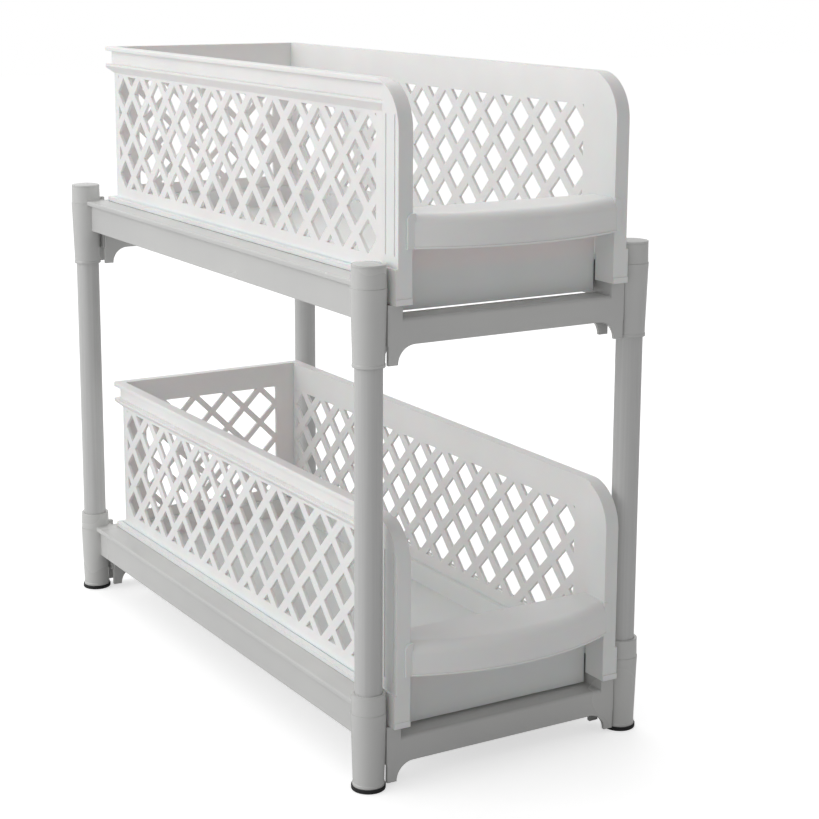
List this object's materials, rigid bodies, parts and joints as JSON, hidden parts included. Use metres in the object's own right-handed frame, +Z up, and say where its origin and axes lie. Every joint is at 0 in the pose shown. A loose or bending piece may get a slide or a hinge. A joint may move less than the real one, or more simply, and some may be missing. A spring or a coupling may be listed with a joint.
{
  "type": "under sink organizer",
  "caption": "Tiered under-sink organizer: tube posts, moulded tier frames and pull-out lattice-walled baskets with bowed front handles.",
  "frame": {"origin": "on the floor, under the centre of the whole outline seen from above", "axes": "+Z up, the front with the handles faces -Y, +X to the right seen from the front"},
  "size_m": [0.1992, 0.4512, 0.403],
  "materials": {
    "frame_plastic": "satin moulded, light grey white",
    "tube_plastic": "satin, light grey white",
    "basket_plastic": "satin moulded, white",
    "foot_rubber": "matte black"
  },
  "bodies": {
    "stand": {"lower_tier_frame": "frame_plastic", "upper_tier_frame": "frame_plastic", "front_left_tube": "tube_plastic", "front_right_tube": "tube_plastic", "rear_left_tube": "tube_plastic", "rear_right_tube": "tube_plastic", "front_left_cap": "frame_plastic", "front_right_cap": "frame_plastic", "rear_left_cap": "frame_plastic", "rear_right_cap": "frame_plastic", "front_left_foot": "foot_rubber", "front_right_foot": "foot_rubber", "rear_left_foot": "foot_rubber", "rear_right_foot": "foot_rubber"},
    "lower_basket": {"lower_basket_tray": "basket_plastic", "lower_basket_left_side": "basket_plastic", "lower_basket_right_side": "basket_plastic", "lower_basket_back": "basket_plastic", "lower_basket_front": "basket_plastic"},
    "upper_basket": {"upper_basket_tray": "basket_plastic", "upper_basket_left_side": "basket_plastic", "upper_basket_right_side": "basket_plastic", "upper_basket_back": "basket_plastic", "upper_basket_front": "basket_plastic"}
  },
  "joints": [
    {"name": "lower_basket_slide", "type": "slide", "parent": "stand", "child": "lower_basket", "axis": [0, -1, 0], "range_m": [0, 0.25]},
    {"name": "upper_basket_slide", "type": "slide", "parent": "stand", "child": "upper_basket", "axis": [0, -1, 0], "range_m": [0, 0.25]}
  ]
}
